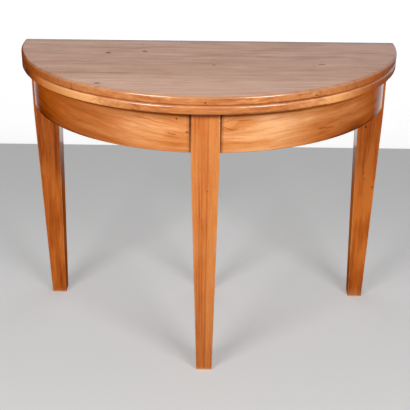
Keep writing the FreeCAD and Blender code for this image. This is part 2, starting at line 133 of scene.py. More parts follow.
class Graph:
    """The node tree of one material, with a short call for each kind of node."""

    def __init__(self, name):
        self.material = bpy.data.materials.new(name)
        self.material.use_nodes = True
        self.tree = self.material.node_tree
        self.shader = self.tree.nodes["Principled BSDF"]
        coordinates = self.tree.nodes.new("ShaderNodeTexCoord")
        self.x, self.y, self.z = self.split(coordinates.outputs["Object"])
        self.facing_x, self.facing_y, self.facing_z = self.split(coordinates.outputs["Normal"])

    def put(self, socket, value):
        if isinstance(value, Wire):
            self.tree.links.new(value.socket, socket)
        else:
            socket.default_value = value

    def split(self, socket):
        node = self.tree.nodes.new("ShaderNodeSeparateXYZ")
        self.tree.links.new(socket, node.inputs[0])
        return [Wire(self, output) for output in node.outputs]

    def maths(self, operation, *values):
        node = self.tree.nodes.new("ShaderNodeMath")
        node.operation = operation
        for socket, value in zip(node.inputs, values):
            self.put(socket, value)
        return Wire(self, node.outputs[0])

    def rise(self, value, low, high):
        """0 below low, 1 above high, and a smooth step between."""
        node = self.tree.nodes.new("ShaderNodeMapRange")
        node.interpolation_type = "SMOOTHSTEP"
        self.put(node.inputs["Value"], value)
        node.inputs["From Min"].default_value = low
        node.inputs["From Max"].default_value = high
        return Wire(self, node.outputs["Result"])

    def fall(self, value, low, high):
        return 1.0 - self.rise(value, low, high)

    def noise(self, x, y, z, detail=2.0, roughness=0.5):
        join = self.tree.nodes.new("ShaderNodeCombineXYZ")
        for socket, value in zip(join.inputs, (x, y, z)):
            self.put(socket, value)
        node = self.tree.nodes.new("ShaderNodeTexNoise")
        self.tree.links.new(join.outputs[0], node.inputs["Vector"])
        node.inputs["Scale"].default_value = 1.0
        node.inputs["Detail"].default_value = detail
        node.inputs["Roughness"].default_value = roughness
        return Wire(self, node.outputs[0])

    def ramp(self, value, colours):
        """The colours, evenly spaced over values from 0 to 1."""
        node = self.tree.nodes.new("ShaderNodeValToRGB")
        self.put(node.inputs[0], value)
        stops = node.color_ramp.elements
        while len(stops) < len(colours):
            stops.new(0.5)
        for index, colour in enumerate(colours):
            stops[index].position = index / (len(colours) - 1)
            stops[index].color = colour
        return Wire(self, node.outputs[0])

    def mix(self, share, first, second, blend="MIX"):
        node = self.tree.nodes.new("ShaderNodeMix")
        node.data_type = "RGBA"
        node.blend_type = blend
        self.put(node.inputs[MIX_SHARE], share)
        self.put(node.inputs[MIX_FIRST], first)
        self.put(node.inputs[MIX_SECOND], second)
        return Wire(self, node.outputs[MIX_RESULT])

    def bump(self, height, strength, distance):
        node = self.tree.nodes.new("ShaderNodeBump")
        node.inputs["Strength"].default_value = strength
        node.inputs["Distance"].default_value = distance
        self.put(node.inputs["Height"], height)
        self.put(self.shader.inputs["Normal"], Wire(self, node.outputs[0]))

    def spot(self, centre, radii, soft=0.5):
        """1 inside an ellipsoid, falling to 0 at its surface."""
        total = 0.0
        for wire, middle, radius in zip((self.x, self.y, self.z), centre, radii):
            away = (wire - middle) / radius
            total = away * away + total
        return self.fall(self.maths("SQRT", total), 1.0 - soft, 1.0)


# Colours of the wood from light to dark
FRAME_COLOURS = (paint(252, 190, 136), paint(229, 154, 95), paint(210, 128, 68), paint(172, 88, 38))
LEG_COLOURS = (paint(231, 150, 82), paint(217, 131, 63), paint(200, 109, 43), paint(160, 76, 24))
DEEP_COLOURS = (paint(212, 118, 44), paint(190, 96, 26), paint(168, 78, 16), paint(122, 50, 6))
EDGE_COLOURS = (paint(253, 183, 114), paint(219, 143, 84), paint(194, 115, 60), paint(150, 78, 34))
TOP_COLOURS = (paint(203, 142, 96), paint(184, 122, 79), paint(165, 104, 65), paint(139, 83, 50))
# Dark end grain, also used as painted shade at the ends of the leaf edges
END_GRAIN_AND_SHADE = paint(112, 52, 16)
INNER_COLOURS = (paint(226, 190, 142), paint(212, 172, 122), paint(194, 150, 100), paint(164, 118, 74))
PORE = paint(112, 52, 18)
RUBBED = paint(246, 190, 134)
SCUFF = paint(196, 150, 112)
# Dirt in the joints of the boards, and painted shade in the groove between the leaves and on the aprons'
# lower arrises; it also darkens the back edge of the top
DIRT_AND_SHADE = paint(58, 24, 6)
# Dirt in the joints beside the front leg, with painted shade of the proud leg
JOINT_DIRT_AND_SHADE = paint(70, 18, 0)
# Painted shade: the deep colour of the leaf's shadow on the aprons and legs, and in the groove between the
# leaves
PAINTED_SHADE_COLOUR = paint(190, 90, 8)
MARK = paint(108, 60, 26)
STAIN = paint(88, 34, 4)
WARM = (1.0, 0.90, 0.78, 1.0)


@dataclass
class Board:
    """How one piece of wood looks. Lengths are in metres, and tone runs from 0, light, to 1, dark."""

    seed: float
    colours: tuple
    pith: tuple = (-0.11, 0.03)
    shade: float = 0.36
    top_shift: float = 0.0
    joint: float = 0.20
    arris: float = 1.0
    scuff: float = 0.010
    lean: float = 0.0
    waver: float = 0.012
    contrast: float = 1.0
    fine: float = 1.0
    ring: float = 0.007
    wobble: float = 4.0
    lines: float = 0.30
    gloss: float = 0.34
    patches: tuple = ()
    swirls: tuple = ()
    streaks: tuple = ()
    marks: tuple = ()


@dataclass
class Layer:
    """Noise drawn out along the fibres: waves per metre along and across them, and how fine it is."""

    along: float
    across: float
    detail: float = 2.0
    roughness: float = 0.5


# Layers of noise in the figure of the wood
WANDER = Layer(2.6, 9.0)
DRIFT = Layer(2.0, 7.0)
GROWTH = Layer(3.0, 40.0, 3.0, 0.6)
VIGOUR = Layer(5.0, 25.0)
BAND = Layer(2.4, 34.0, 5.0, 0.62)
FLECK = Layer(15.0, 230.0, 3.0, 0.6)
MOTTLE = Layer(12.0, 24.0, 3.0)
FIBRE = Layer(22.0, 1200.0)
PORES = Layer(75.0, 1900.0)
RIPPLE = Layer(45.0, 12.0)
NOISE_MEAN = 0.5

# Every board of the table has its own figure: each seed moves the noise to another place
SEED_STEP = 7.31

# How much each layer adds to the tone
BAND_SHARE = 1.2
FLECK_SHARE = 0.5
MOTTLE_SHARE = 0.5
FIBRE_SHARE = 0.25

# Where in a growth ring the late wood darkens and ends, and at which noise rings and pores show
LATE_RISE = (0.30, 0.85)
LATE_FALL = (0.85, 1.0)
RING_SHOWS = (0.42, 0.66)
PORE_SHOWS = (0.62, 0.72)

# A streak: how much it ripples, how long its ends taper, and how wide its core is
STREAK_RIPPLE = 0.25
STREAK_TAPER = 0.3
STREAK_CORE = 0.2


def drawn_out(g, layer, along, across, depth, offset, fine=1.0):
    """The noise of a layer, moved along the fibres by the offset."""
    length = layer.along * fine
    width = layer.across * fine
    return g.noise(along * length + offset, across * width, depth * width, layer.detail, layer.roughness)


def figure(g, board, along, across, depth):
    """Solid wood with its fibres along the first coordinate: its tone, the play round it, pores, fibres."""
    offset = board.seed * SEED_STEP
    wander = drawn_out(g, WANDER, along, across, depth, offset)
    drift = g.noise(along * DRIFT.along, across * DRIFT.across + offset, depth * DRIFT.across)
    sideways = across - along * board.lean + (wander - NOISE_MEAN) * board.waver
    inward = depth + (drift - NOISE_MEAN) * board.waver
    for centre, radii, push in board.swirls:
        sideways = sideways + g.spot(centre, radii, soft=1.0) * push

    pith_side = sideways - board.pith[0]
    pith_depth = inward - board.pith[1]
    from_pith = g.maths("SQRT", pith_side * pith_side + pith_depth * pith_depth)
    growth = drawn_out(g, GROWTH, along, sideways, inward, offset)
    season = g.maths("FRACT", from_pith / board.ring + growth * board.wobble)
    late = g.rise(season, *LATE_RISE) * g.fall(season, *LATE_FALL)
    vigour = g.rise(drawn_out(g, VIGOUR, along, sideways, inward, offset), *RING_SHOWS)

    band = drawn_out(g, BAND, along, sideways, inward, offset, board.fine)
    fleck = drawn_out(g, FLECK, along, sideways, inward, offset)
    mottle = drawn_out(g, MOTTLE, along, across, depth, offset)
    fibre = drawn_out(g, FIBRE, along, sideways, inward, offset)
    pores = g.rise(drawn_out(g, PORES, along, sideways, inward, offset), *PORE_SHOWS)
    grain = (
        (band - NOISE_MEAN) * BAND_SHARE
        + (fleck - NOISE_MEAN) * FLECK_SHARE
        + (mottle - NOISE_MEAN) * MOTTLE_SHARE
        + (fibre - NOISE_MEAN) * FIBRE_SHARE
    )
    play = (grain + late * vigour * board.lines) * board.contrast

    tone = board.shade
    for centre, radii, shift in board.patches:
        tone = g.spot(centre, radii, soft=1.0) * shift + tone
    if board.streaks:
        ripple = drawn_out(g, RIPPLE, along, across, depth, offset)
        ripple = (ripple - NOISE_MEAN) * board.waver * STREAK_RIPPLE
    for start, stop, place, lean, half_width, shift in board.streaks:
        line = across - place - (along - start) * lean + ripple
        taper = (stop - start) * STREAK_TAPER
        reach = g.rise(along, start, start + taper) * g.fall(along, stop - taper, stop)
        play = play + g.fall(abs(line), half_width * STREAK_CORE, half_width) * reach * shift
    return tone, play, pores, fibre


# Redder patches: waves per metre, at which noise they show, and how strong they are
WARM_WAVES = 9.0
WARM_HEIGHT_WAVES = 14.0
WARM_SHOWS = (0.40, 0.68)
WARM_SHARE = 0.55


def warm(g, board, colour):
    """The same colour, redder in soft patches."""
    along_x = g.x * WARM_WAVES + board.seed * SEED_STEP
    patch = g.noise(along_x, g.y * WARM_WAVES, g.z * WARM_HEIGHT_WAVES)
    return g.mix(g.rise(patch, *WARM_SHOWS) * WARM_SHARE, colour, WARM, "MULTIPLY")


def marked(g, board):
    """Where the board has small dents and stains: how strong they are."""
    total = 0.0
    for centre, radii, strength in board.marks:
        total = g.maths("MAXIMUM", g.spot(centre, radii) * strength, total)
    return total


# How pores and fibres change the colour, the gloss and the surface, whose bumps are in metres
PORE_SHARE = 0.40
FIBRE_GLOSS = 0.10
PORE_GLOSS = 0.10
FIBRE_HEIGHT = 0.35
PORE_DEPTH = 0.5
BUMP_STRENGTH = 0.25
BUMP_DISTANCE = 0.0004


def finish_wood(g, board, colour, pores, fibre):
    """Fills the shader for wood, with the pores sunk in."""
    inputs = g.shader.inputs
    g.put(inputs["Base Color"], g.mix(pores * PORE_SHARE, colour, PORE))
    g.put(inputs["Roughness"], board.gloss + (fibre - NOISE_MEAN) * FIBRE_GLOSS + pores * PORE_GLOSS)
    g.bump(fibre * FIBRE_HEIGHT - pores * PORE_DEPTH, BUMP_STRENGTH, BUMP_DISTANCE)
    return g.material


def polish(g, specular, coat, coat_roughness=0.10, coat_ior=1.5):
    """How much a surface shines by itself, and the clear polish over it."""
    inputs = g.shader.inputs
    inputs["Specular IOR Level"].default_value = specular
    g.put(inputs["Coat Weight"], coat)
    inputs["Coat Roughness"].default_value = coat_roughness
    inputs["Coat IOR"].default_value = coat_ior


# Which way a surface of a leaf faces where it counts as a broad face, as level, or as the straight back
FACE_START = 0.80
FACE_FULL = 0.97
LEVEL_FACING = (0.80, 0.99)
BACK_FACING = (0.3, 0.7)

# How far a leaf's surface has to face upwards to be darkened by use: the folding leaf lies on top
WORN_FACING = {"folding": (0.0, 0.55), "fixed": (0.60, 0.95)}

# How far round the edge the deeper colour and the dark end grain, both with painted shade, and the calmer
# figure start and are full
LEAF_DEEP_SHADE_TURN = (math.radians(31), math.radians(61))
LEAF_END_TURN = (math.radians(53), math.radians(74))
LEAF_CALM_TURN = (math.radians(10), math.radians(40))
END_GRAIN_AND_SHADE_SHARE = 0.80
CALM_SHARE = 0.65

# How strongly the figure shows on the worn upper faces, in the colour and in the polish
TOP_PLAY = 0.60
TOP_GLOSS_PLAY = 0.42

# The upper faces are duller all over, lighter and less dull towards the front, and darker to the right
TOP_DULL = 0.34
FORWARD = (-0.150, -0.070)
FORWARD_TONE = -0.22
FORWARD_DULL = -0.18
ASIDE = (0.0, 0.25)
ASIDE_TONE = 0.12

# Darker along the back edge, dirt in the joints of the boards, and painted shade in the groove between the
# leaves
BACK_DARKENING = (BACK_EDGE - 0.024, BACK_EDGE - 0.008)
BACK_DARKENING_SHARE = 0.55
BOARD_JOINT = (0.0002, 0.0007)
GROOVE = (0.0010, 0.0036)
GROOVE_PAINTED_SHADE_TURN = (0.2, 0.6)
GROOVE_PAINTED_SHADE_SHARE = 0.45
GROOVE_END_SHADE_TURN = (0.95, 1.15)
GROOVE_END_SHADE_SHARE = 0.50

# Polish of the leaves: weak on the edge, worn off round its ends, less so to the right and on marks
COAT_FACING = (0.0, 0.3)
EDGE_COAT = 0.25
END_COAT_LOSS = 0.95
ASIDE_COAT_KEPT = 0.50
MARK_COAT_LOSS = 0.8
LEAF_COAT_ROUGHNESS = 0.20
LEAF_COAT_IOR = 1.7

# How far up the upper arrises face, and how far to the right they start to be polished and fully are
ARRIS_FACING = (0.25, 0.60)
POLISHED_END = (0.33, 0.45)


def leaf_wood(name, board, joints, worn):
    """A board of the top. Its upper face is darker, and so is its edge towards its ends, where the end
    grain is darker and painted shade darkens it further.
    """
    g = Graph(name)
    tone, play, pores, fibre = figure(g, board, g.x, g.y, g.z)
    marks = marked(g, board)
    turn = abs(g.maths("ARCTAN2", g.x, BACK_EDGE - g.y))
    edge_only = g.fall(abs(g.facing_z), FACE_START, FACE_FULL) * g.fall(g.facing_y, *BACK_FACING)
    under = g.fall(g.facing_z, -FACE_FULL, -FACE_START)
    # Painted shade towards the ends of the edge, where the light falls off: a deeper colour, then the dark
    # end grain
    deep_shade = g.rise(turn, *LEAF_DEEP_SHADE_TURN) * edge_only
    end = g.rise(turn, *LEAF_END_TURN) * edge_only

    edge_tone = play * (1.0 - g.rise(turn, *LEAF_CALM_TURN) * CALM_SHARE) + tone
    edge = g.mix(deep_shade, g.ramp(edge_tone, board.colours), g.ramp(edge_tone, DEEP_COLOURS))
    edge = g.mix(end * END_GRAIN_AND_SHADE_SHARE, warm(g, board, edge), END_GRAIN_AND_SHADE)

    upward = g.rise(g.facing_z, *worn)
    forward = g.fall(g.y, *FORWARD)
    aside = g.rise(g.x, *ASIDE)
    top_tone = play * TOP_PLAY + board.shade + board.top_shift
    top_tone = top_tone + forward * FORWARD_TONE + aside * ASIDE_TONE
    broad = g.maths("MAXIMUM", upward * (1.0 - end), under)
    colour = g.mix(broad, edge, g.ramp(top_tone, TOP_COLOURS))

    # Darker along the back edge of the upper face
    back_darkening = g.rise(g.y, *BACK_DARKENING) * upward
    colour = g.mix(back_darkening * BACK_DARKENING_SHARE, colour, DIRT_AND_SHADE)
    for joint in joints:
        colour = g.mix(g.fall(abs(g.y - joint), *BOARD_JOINT) * board.joint, colour, DIRT_AND_SHADE)
    # Painted shade in the groove between the leaves: a deep colour to the sides, darker still at the far
    # ends
    groove = g.fall(abs(g.z - LEAF_SEAM), *GROOVE) * edge_only
    colour = g.mix(groove * g.rise(turn, *GROOVE_PAINTED_SHADE_TURN) * GROOVE_PAINTED_SHADE_SHARE, colour, PAINTED_SHADE_COLOUR)
    colour = g.mix(groove * g.rise(turn, *GROOVE_END_SHADE_TURN) * GROOVE_END_SHADE_SHARE, colour, DIRT_AND_SHADE)

    arris = g.rise(g.facing_z, *ARRIS_FACING) * g.rise(g.x, *POLISHED_END) * board.arris
    coat = g.maths("MAXIMUM", g.rise(g.facing_z, *COAT_FACING), under) * (1.0 - EDGE_COAT) + EDGE_COAT
    coat = coat * (1.0 - deep_shade * (1.0 - arris) * (END_COAT_LOSS - aside * ASIDE_COAT_KEPT))
    level = g.rise(abs(g.facing_z), *LEVEL_FACING)
    dull = play * TOP_GLOSS_PLAY + TOP_DULL + forward * FORWARD_DULL
    coat = coat * (1.0 - level * dull) * (1.0 - marks * MARK_COAT_LOSS)
    polish(g, specular=0.0, coat=coat, coat_roughness=LEAF_COAT_ROUGHNESS, coat_ior=LEAF_COAT_IOR)
    return finish_wood(g, board, g.mix(marks, colour, MARK), pores, fibre)


# How far round each apron the deeper colour, painted shade where the light falls off, starts, and where it
# is full
DEEP_SHADE_TURN = {-1: (math.radians(4), math.radians(60)), 1: (math.radians(14), math.radians(74))}

# How much darker each apron is along its lower edge, how high that reaches, and the painted shade on its
# lower arris
LOW_EDGE_TONE = {-1: 0.13, 1: 0.03}
LOW_EDGE_HEIGHT = 0.055
LOW_ARRIS_SHADE = (APRON_BOTTOM + 0.002, APRON_BOTTOM + 0.008)
LOW_ARRIS_SHADE_TURN = (0.4, 0.9)
LOW_ARRIS_SHADE_SHARE = 0.65

# Both aprons have painted shade, darker, at their far ends
FAR_END_TURN = (math.radians(55), math.radians(71))
FAR_END_SHADE = 0.30

# Painted shadow of the leaf, in a deep colour, on the aprons and legs: how far down it reaches, and how
# much further at the far ends
PAINTED_SHADE_SHARE = 0.85
APRON_PAINTED_SHADE = (0.0145, 0.0180)
LEG_PAINTED_SHADE = (0.0130, 0.0180)
FAR_PAINTED_SHADE_TURN = (0.5, 1.2)
FAR_PAINTED_SHADE = 0.006

# The joint between each apron and the front leg: dirt in it, with painted shade of the proud leg; how wide
# each band is, and its strength
LEG_JOINT_DIRT_AND_SHADE = {-1: ((0.0046, 1.0), (0.012, 0.20)), 1: ((0.0048, 0.82), (0.0105, 0.36))}
JOINT_CORE = 0.55

# That dirt and painted shade is thinner towards the lower edge, and uneven
JOINT_FULL_HEIGHT = 0.10
JOINT_LEAST = 0.5
UNEVEN_HEIGHT_WAVES = 160.0
UNEVEN_WAVES = 90.0
UNEVEN_SHOWS = (0.25, 0.60)
UNEVEN_LEAST = 0.65

# Where the polish on an apron, rubbed off further forward, is still thick, and how strongly it mirrors
POLISHED_TURN = {-1: (math.radians(63), math.radians(79)), 1: (math.radians(59), math.radians(77))}
APRON_COAT_IOR = {-1: 1.7, 1: 1.85}
APRON_COAT_ROUGHNESS = 0.03


def apron_wood(name, board, side):
    """A curved apron. Its fibres follow the curve, and towards its ends it has a deeper colour, painted
    shade where the light falls off.
    """
    g = Graph(name)
    back = APRON_CENTRE - g.y
    turn = g.maths("ARCTAN2", g.x, back)
    radius = g.maths("SQRT", g.x * g.x + back * back)
    tone, play, pores, fibre = figure(g, board, turn * APRON_RADIUS, g.z, radius)
    low_edge = g.fall(g.z, APRON_BOTTOM, APRON_BOTTOM + LOW_EDGE_HEIGHT)
    # Painted shade: darker and deeper in colour towards the far ends
    far_end_shade = g.rise(abs(turn), *FAR_END_TURN)
    tone = play + tone + low_edge * LOW_EDGE_TONE[side] + far_end_shade * FAR_END_SHADE
    deep_shade = g.rise(abs(turn), *DEEP_SHADE_TURN[side])
    colour = warm(g, board, g.mix(deep_shade, g.ramp(tone, board.colours), g.ramp(tone, DEEP_COLOURS)))
    under_leaf = APRON_TOP - g.z - g.rise(abs(turn), *FAR_PAINTED_SHADE_TURN) * FAR_PAINTED_SHADE
    # Painted shadow of the leaf along the top of the apron
    colour = g.mix(g.fall(under_leaf, *APRON_PAINTED_SHADE) * PAINTED_SHADE_SHARE, colour, PAINTED_SHADE_COLOUR)

    from_leg = abs(g.x) - LEG_HALF_TOP
    height = g.rise(g.z, APRON_BOTTOM, APRON_BOTTOM + JOINT_FULL_HEIGHT) * (1.0 - JOINT_LEAST) + JOINT_LEAST
    uneven = g.noise(g.z * UNEVEN_HEIGHT_WAVES, g.x * UNEVEN_WAVES, board.seed)
    uneven = g.rise(uneven, *UNEVEN_SHOWS) * (1.0 - UNEVEN_LEAST) + UNEVEN_LEAST
    # Dirt in the joint to the front leg, with painted shade of the proud leg
    for width, strength in LEG_JOINT_DIRT_AND_SHADE[side]:
        dirt_and_shade = g.fall(from_leg, width * JOINT_CORE, width) * strength
        colour = g.mix(dirt_and_shade * height * uneven, colour, JOINT_DIRT_AND_SHADE)
    # Painted shade on the lower arris towards the ends
    low_arris_shade = g.fall(g.z, *LOW_ARRIS_SHADE)
    colour = g.mix(low_arris_shade * g.rise(abs(turn), *LOW_ARRIS_SHADE_TURN) * LOW_ARRIS_SHADE_SHARE, colour, DIRT_AND_SHADE)

    coat = g.rise(abs(turn), *POLISHED_TURN[side])
    polish(g, specular=0.0, coat=coat, coat_roughness=APRON_COAT_ROUGHNESS, coat_ior=APRON_COAT_IOR[side])
    return finish_wood(g, board, g.mix(marked(g, board), colour, STAIN), pores, fibre)


# A darker stripe in the front leg: how far it stands from the axis at the foot, how it leans, its strength
STRIPE_FOOT = 0.0005
STRIPE_LEAN = 0.0095
STRIPE_TONE = 0.28

# Half widths of the stripe, where the lighter wood to its right starts, and the darker band to its left
STRIPE_WIDTH = (0.0006, 0.0030)
STRIPE_LIGHT = (0.001, 0.006)
STRIPE_BAND_START = (-0.026, -0.018)
STRIPE_BAND_END = (-0.004, 0.002)
STRIPE_SIDE_SHARE = 0.5

# Rubbed arrises: how ragged they are, how near the corner they start, as shares of the half width
RAGGED_WAVES = 30.0
RAGGED_CROSS_WAVES = 6.0
RAGGED = 0.12
RUBBED_START = (0.90, 1.0)
RUBBED_SHARE = 0.48

# The rubbed lower edge of the foot, and the scuffs over it
FOOT_RUBBED = (0.001, 0.005)
FOOT_RAGGED = 0.02
FOOT_SHARE = 0.6
SCUFF_START = 0.004
SCUFF_RAGGED = 0.2
SCUFF_SHARE = 0.30

# Dirt and painted shade on the left arris of the front leg, in the joint to the apron
BESIDE_APRON = (0.0010, 0.0030)
BESIDE_FULL_HEIGHT = 0.08
BESIDE_SHARE = 0.75

# The sides of the legs have lost their polish below the first of these heights and kept it above the second
SIDE_POLISH = (0.32, 0.54)
SIDE_FACING = (0.5, 0.9)
FRONT_LEG_COAT = 0.5
OTHER_LEG_COAT = 0.25
LEG_COAT_ROUGHNESS = 0.06


def leg_wood(name, board, half_top, half_foot, stripe, coat):
    """A tapered leg. Its fibres run upwards, and its arrises are rubbed lighter."""
    g = Graph(name)
    low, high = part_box(name.removesuffix("_wood"))
    middle = (low + high) / 2
    sideways = g.x - middle.x
    tone, play, pores, fibre = figure(g, board, g.z, sideways, g.y - middle.y)
    tone = play + tone
    if stripe:
        from_stripe = sideways - g.z * STRIPE_LEAN - STRIPE_FOOT
        tone = tone + g.fall(abs(from_stripe), *STRIPE_WIDTH) * stripe
        tone = tone - g.rise(from_stripe, *STRIPE_LIGHT) * stripe * STRIPE_SIDE_SHARE
        band = g.rise(from_stripe, *STRIPE_BAND_START) * g.fall(from_stripe, *STRIPE_BAND_END)
        tone = tone + band * stripe * STRIPE_SIDE_SHARE
    colour = warm(g, board, g.ramp(tone, board.colours))
    # Painted shadow of the leaf at the top of the leg
    colour = g.mix(g.fall(APRON_TOP - g.z, *LEG_PAINTED_SHADE) * PAINTED_SHADE_SHARE, colour, PAINTED_SHADE_COLOUR)

    half = g.maths("MINIMUM", g.z / LEG_TAPER_TOP, 1.0) * (half_top - half_foot) + half_foot
    across = abs(sideways) / half
    depth = abs(g.y - middle.y) / half
    ragged = g.noise(g.z * RAGGED_WAVES, across * RAGGED_CROSS_WAVES, depth * RAGGED_CROSS_WAVES)
    ragged = (ragged - NOISE_MEAN) * RAGGED
    rubbed = g.rise(g.maths("MINIMUM", across, depth) + ragged, *RUBBED_START)
    foot = g.fall(g.z + ragged * FOOT_RAGGED, *FOOT_RUBBED)
    scuffed = g.fall(g.z + ragged * SCUFF_RAGGED, SCUFF_START, board.scuff)
    colour = g.mix(scuffed * SCUFF_SHARE, colour, SCUFF)
    colour = g.mix(g.maths("MAXIMUM", rubbed * RUBBED_SHARE, foot * FOOT_SHARE), colour, RUBBED)
    if stripe:
        # Dirt and painted shade beside the apron on the left arris
        beside = g.fall(sideways + half, *BESIDE_APRON)
        beside = beside * g.rise(g.z, APRON_BOTTOM, APRON_BOTTOM + BESIDE_FULL_HEIGHT)
        colour = g.mix(beside * BESIDE_SHARE, colour, JOINT_DIRT_AND_SHADE)

    side = g.rise(abs(g.facing_x), *SIDE_FACING)
    kept = g.rise(g.z, *SIDE_POLISH) * side
    polish(g, specular=0.0, coat=(1.0 - side) * coat + kept, coat_roughness=LEG_COAT_ROUGHNESS)
    return finish_wood(g, board, g.mix(marked(g, board), colour, STAIN), pores, fibre)


def inner_wood(name, seed, axis):
    """Plain, unpolished wood of a rail, runner or block, with its fibres along the named axis."""
    g = Graph(name)
    board = Board(seed, INNER_COLOURS, pith=(0.03, -0.06), ring=0.004, gloss=0.62)
    order = {"x": (g.x, g.y, g.z), "y": (g.y, g.x, g.z)}[axis]
    tone, play, pores, fibre = figure(g, board, *order)
    polish(g, specular=0.3, coat=0.0)
    return finish_wood(g, board, g.ramp(play + tone, board.colours), pores, fibre)


# Metal: its dull patches and its scratches, in waves per metre, and what they change
METAL_PATCH_WAVES = 90.0
METAL_PATCH_DETAIL = 4.0
METAL_PATCH_SHOWS = (0.35, 0.7)
METAL_PATCH_GLOSS = 0.3
SCRATCH_WAVES = 400.0
SCRATCH_CROSS_WAVES = 2500.0
SCRATCH_GLOSS = 0.1
SCRATCH_STRENGTH = 0.15
SCRATCH_DISTANCE = 0.0002


def metal(name, bright, dull, roughness):
    """Metal that has gone dull in patches."""
    g = Graph(name)
    x, y, z = (place * METAL_PATCH_WAVES for place in (g.x, g.y, g.z))
    patch = g.noise(x, y, z, detail=METAL_PATCH_DETAIL)
    scratch = g.noise(g.x * SCRATCH_WAVES, g.y * SCRATCH_CROSS_WAVES, g.z * SCRATCH_CROSS_WAVES)
    gloss = (patch - NOISE_MEAN) * METAL_PATCH_GLOSS
    g.put(g.shader.inputs["Base Color"], g.mix(g.rise(patch, *METAL_PATCH_SHOWS), bright, dull))
    g.put(g.shader.inputs["Roughness"], roughness + gloss + (scratch - NOISE_MEAN) * SCRATCH_GLOSS)
    g.shader.inputs["Metallic"].default_value = 1.0
    g.bump(scratch, SCRATCH_STRENGTH, SCRATCH_DISTANCE)
    return g.material


def dress(node, material):
    """Gives a node of the model this material all over."""
    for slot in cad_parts[node].material_slots:
        slot.material = material


# The boards of both leaves: place of the pith, across the board and in height
BACK_PITH = (BACK_EDGE - 0.09, TABLE_TOP - 0.11)
MIDDLE_PITH = (BACK_EDGE - 0.29, TABLE_TOP - 0.07)
FRONT_PITH = (BACK_EDGE - 0.43, TABLE_TOP - 0.09)
# Two lighter patches of the fixed leaf's edge, and a darker patch at its left end that is painted shade
TONE_AND_SHADE_PATCHES = (
    ((-0.335, -0.123, 0.717), (0.24, 0.24, 0.20), -0.78),
    ((0.305, -0.148, 0.717), (0.16, 0.16, 0.20), -0.52),
    ((-0.465, 0.055, 0.717), (0.11, 0.11, 0.05), 0.50),
)
LEAF_GRAIN = {"lean": 0.012, "ring": 0.011, "waver": 0.012, "contrast": 1.25, "fine": 3.0}

# Each patch is a place, half sizes and a change of tone, and each mark a place, half sizes and strength.
# A swirl is a place, half sizes and how far it pushes the grain aside. A streak is where it starts and
# stops along the fibres, its place across them, its lean, its half width and a change of tone.
LEAF_BOARDS = {
    "folding_leaf_back_board": Board(
        1.0, EDGE_COLOURS, BACK_PITH, shade=0.47, joint=0.65, arris=0.35, top_shift=-0.05, **LEAF_GRAIN,
        marks=(
            ((-0.257, 0.113, TABLE_TOP), (0.009, 0.009, 0.01), 0.85),
            ((-0.164, 0.129, TABLE_TOP), (0.009, 0.009, 0.01), 0.75),
            ((-0.176, 0.205, TABLE_TOP), (0.005, 0.006, 0.01), 0.45),
            ((0.069, 0.133, TABLE_TOP), (0.010, 0.004, 0.01), 0.40),
        ),
    ),
    "folding_leaf_middle_board": Board(
        2.0, EDGE_COLOURS, MIDDLE_PITH, shade=0.47, joint=0.65, arris=0.35, top_shift=-0.11, **LEAF_GRAIN,
        marks=(
            ((0.283, 0.022, TABLE_TOP), (0.012, 0.006, 0.01), 0.70),
            ((0.262, 0.007, TABLE_TOP), (0.008, 0.004, 0.01), 0.45),
            ((0.016, 0.006, TABLE_TOP), (0.007, 0.006, 0.01), 0.65),
        ),
    ),
    "folding_leaf_front_board": Board(
        3.0, EDGE_COLOURS, FRONT_PITH, shade=0.49, joint=0.65, arris=0.35, top_shift=-0.11, **LEAF_GRAIN,
        marks=(
            ((-0.251, -0.159, TABLE_TOP), (0.010, 0.005, 0.01), 1.0),
            ((-0.328, -0.138, TABLE_TOP), (0.010, 0.003, 0.01), 0.45),
            ((0.0, -0.252, 0.7355), (0.003, 0.01, 0.003), 0.90),
            ((0.252, -0.184, 0.7355), (0.005, 0.01, 0.003), 0.70),
            ((-0.314, -0.141, 0.7300), (0.004, 0.01, 0.003), 0.85),
            ((-0.314, -0.141, 0.7393), (0.0014, 0.01, 0.012), 0.45),
        ),
    ),
    "fixed_leaf_back_board": Board(11.0, EDGE_COLOURS, BACK_PITH, top_shift=0.10, **LEAF_GRAIN),
    "fixed_leaf_middle_board": Board(
        12.0, EDGE_COLOURS, MIDDLE_PITH, shade=0.56, top_shift=-0.12, **LEAF_GRAIN, patches=TONE_AND_SHADE_PATCHES,
    ),
    "fixed_leaf_front_board": Board(
        13.0, EDGE_COLOURS, FRONT_PITH, shade=0.56, top_shift=-0.12, **LEAF_GRAIN, patches=TONE_AND_SHADE_PATCHES,
    ),
}
APRON_GRAIN = {
    "pith": (0.60, 0.40), "ring": 0.012, "waver": 0.022, "lines": 0.30, "contrast": 0.95, "fine": 1.5,
}
